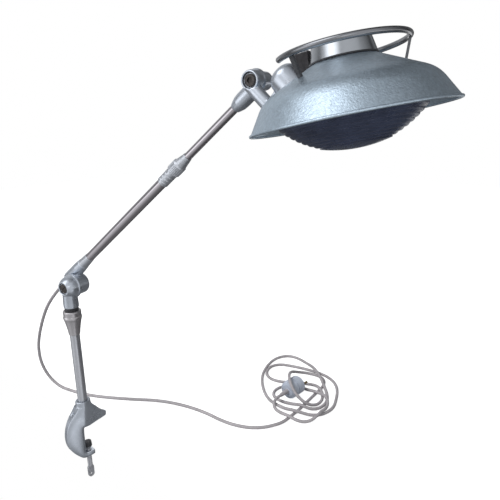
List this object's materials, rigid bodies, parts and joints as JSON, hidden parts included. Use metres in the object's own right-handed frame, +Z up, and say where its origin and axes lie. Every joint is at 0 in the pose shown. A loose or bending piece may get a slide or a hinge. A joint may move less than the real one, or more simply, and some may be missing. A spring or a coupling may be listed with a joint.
{
  "type": "clamp-on architect desk lamp",
  "caption": "Clamp-on desk lamp with a telescopic arm, friction joints, a wide dished shade, a ribbed glass bowl beneath it and a ring handle above, with its cord coiled on the table.",
  "frame": {"origin": "on the stem's axis, at the clamp's jaw face that rests on the table top", "axes": "+Z up the stem; +X the way the arm reaches out; +Y from the stem in over the table"},
  "size_m": [0.8251, 0.5698, 0.7948],
  "materials": {
    "cast_paint": "silver-grey enamel on cast metal, satin",
    "stem_metal": "steel tube, satin",
    "arm_metal": "steel tube, satin, slightly warm grey",
    "cup_paint": "warm grey enamel, satin",
    "bright_metal": "polished plating",
    "screw_steel": "plain steel, dulled",
    "brass": "dull brass",
    "black_rubber": "matt black rubber",
    "cord_rubber": "grey-brown cord sheath",
    "shade_paint": "hammered grey-blue enamel",
    "glass": "pressed ribbed glass, slate blue",
    "bulb_glass": "opal lamp glass",
    "bakelite": "brown-black moulded resin",
    "plug_plastic": "blue-grey moulded resin",
    "matte_guide": "plain nylon, natural"
  },
  "bodies": {
    "clamp": {"clamp_body": "cast_paint", "stem_set_screw": "screw_steel", "stem_tube": "stem_metal", "stem_cup": "cup_paint"},
    "pressure_pad": {"jaw_pad": "black_rubber", "pad_cup": "screw_steel"},
    "clamp_screw": {"clamp_screw": "screw_steel"},
    "shoulder": {"shoulder_knuckle": "cast_paint", "swivel_pin": "screw_steel", "swivel_gasket": "black_rubber", "neck_grub_screw": "screw_steel", "shoulder_bolt": "screw_steel", "shoulder_nut": "screw_steel", "cord_run": "cord_rubber", "cord_coil": "cord_rubber", "plug_cover": "plug_plastic", "plug_base": "plug_plastic", "plug_pins": "brass", "plug_bush": "cord_rubber"},
    "lower_arm": {"shoulder_casting": "cast_paint", "tube_ferrule": "bright_metal", "lower_tube": "arm_metal", "collar_sleeve": "bright_metal", "cord_grommet": "black_rubber"},
    "collar_nut": {"collar_nut": "bright_metal"},
    "clutch": {"clutch_bush": "brass"},
    "upper_arm": {"upper_tube": "arm_metal", "tube_guide": "matte_guide", "elbow_casting": "cast_paint"},
    "head": {"head_bracket": "cast_paint", "bracket_nipple": "screw_steel", "bracket_nut": "screw_steel", "saddle_washer": "cast_paint", "elbow_bolt": "screw_steel", "elbow_nut": "screw_steel", "shade": "shade_paint", "glass_ring": "shade_paint", "glass_bowl": "glass", "glass_clips": "bright_metal", "holder_plate": "screw_steel", "lamp_holder": "bakelite", "bulb": "bulb_glass", "cap_seam_ring": "black_rubber", "cap": "bright_metal", "handle": "stem_metal", "handle_plugs": "black_rubber", "handle_struts": "bright_metal", "switch_housing": "bakelite", "switch_collar": "bright_metal"},
    "switch_lever": {"switch_lever": "bright_metal"}
  },
  "joints": [
    {"name": "pad_travel", "type": "slide", "parent": "clamp", "child": "pressure_pad", "axis": [0, 0, 1], "range_m": [-0.003, 0.025]},
    {"name": "screw_turn", "type": "hinge", "parent": "pressure_pad", "child": "clamp_screw", "pos_m": [0, 0, -0.055], "axis": [0, 0, 1], "range_deg": [-540, 4500]},
    {"name": "swivel", "type": "hinge", "parent": "clamp", "child": "shoulder", "pos_m": [0, 0, 0.24], "axis": [0, 0, 1], "range_deg": [-170, 170]},
    {"name": "shoulder_hinge", "type": "hinge", "parent": "shoulder", "child": "lower_arm", "pos_m": [0, 0, 0.285], "axis": [0, -1, 0], "range_deg": [-45, 50]},
    {"name": "collar_nut_turn", "type": "hinge", "parent": "lower_arm", "child": "collar_nut", "pos_m": [-0.01286, 0.023, 0.30122], "axis": [0.7837, 0, 0.6211], "range_deg": [0, 360]},
    {"name": "arm_twist", "type": "hinge", "parent": "lower_arm", "child": "clutch", "pos_m": [-0.01286, 0.023, 0.30122], "axis": [0.7837, 0, 0.6211], "range_deg": [-170, 170]},
    {"name": "arm_telescope", "type": "slide", "parent": "clutch", "child": "upper_arm", "axis": [0.7837, 0, 0.6211], "range_m": [-0.1, 0.1]},
    {"name": "head_tilt", "type": "hinge", "parent": "upper_arm", "child": "head", "pos_m": [0.39858, 0, 0.62733], "axis": [0, 1, 0], "range_deg": [-80, 45]},
    {"name": "switch_toggle", "type": "hinge", "parent": "head", "child": "switch_lever", "pos_m": [0.4693, 0.004, 0.65614], "axis": [0, 1, 0], "range_deg": [-12, 12]}
  ],
  "couplings": [
    {"joint": "screw_turn", "follows": "pad_travel", "rad_per_m": 3141.6}
  ]
}
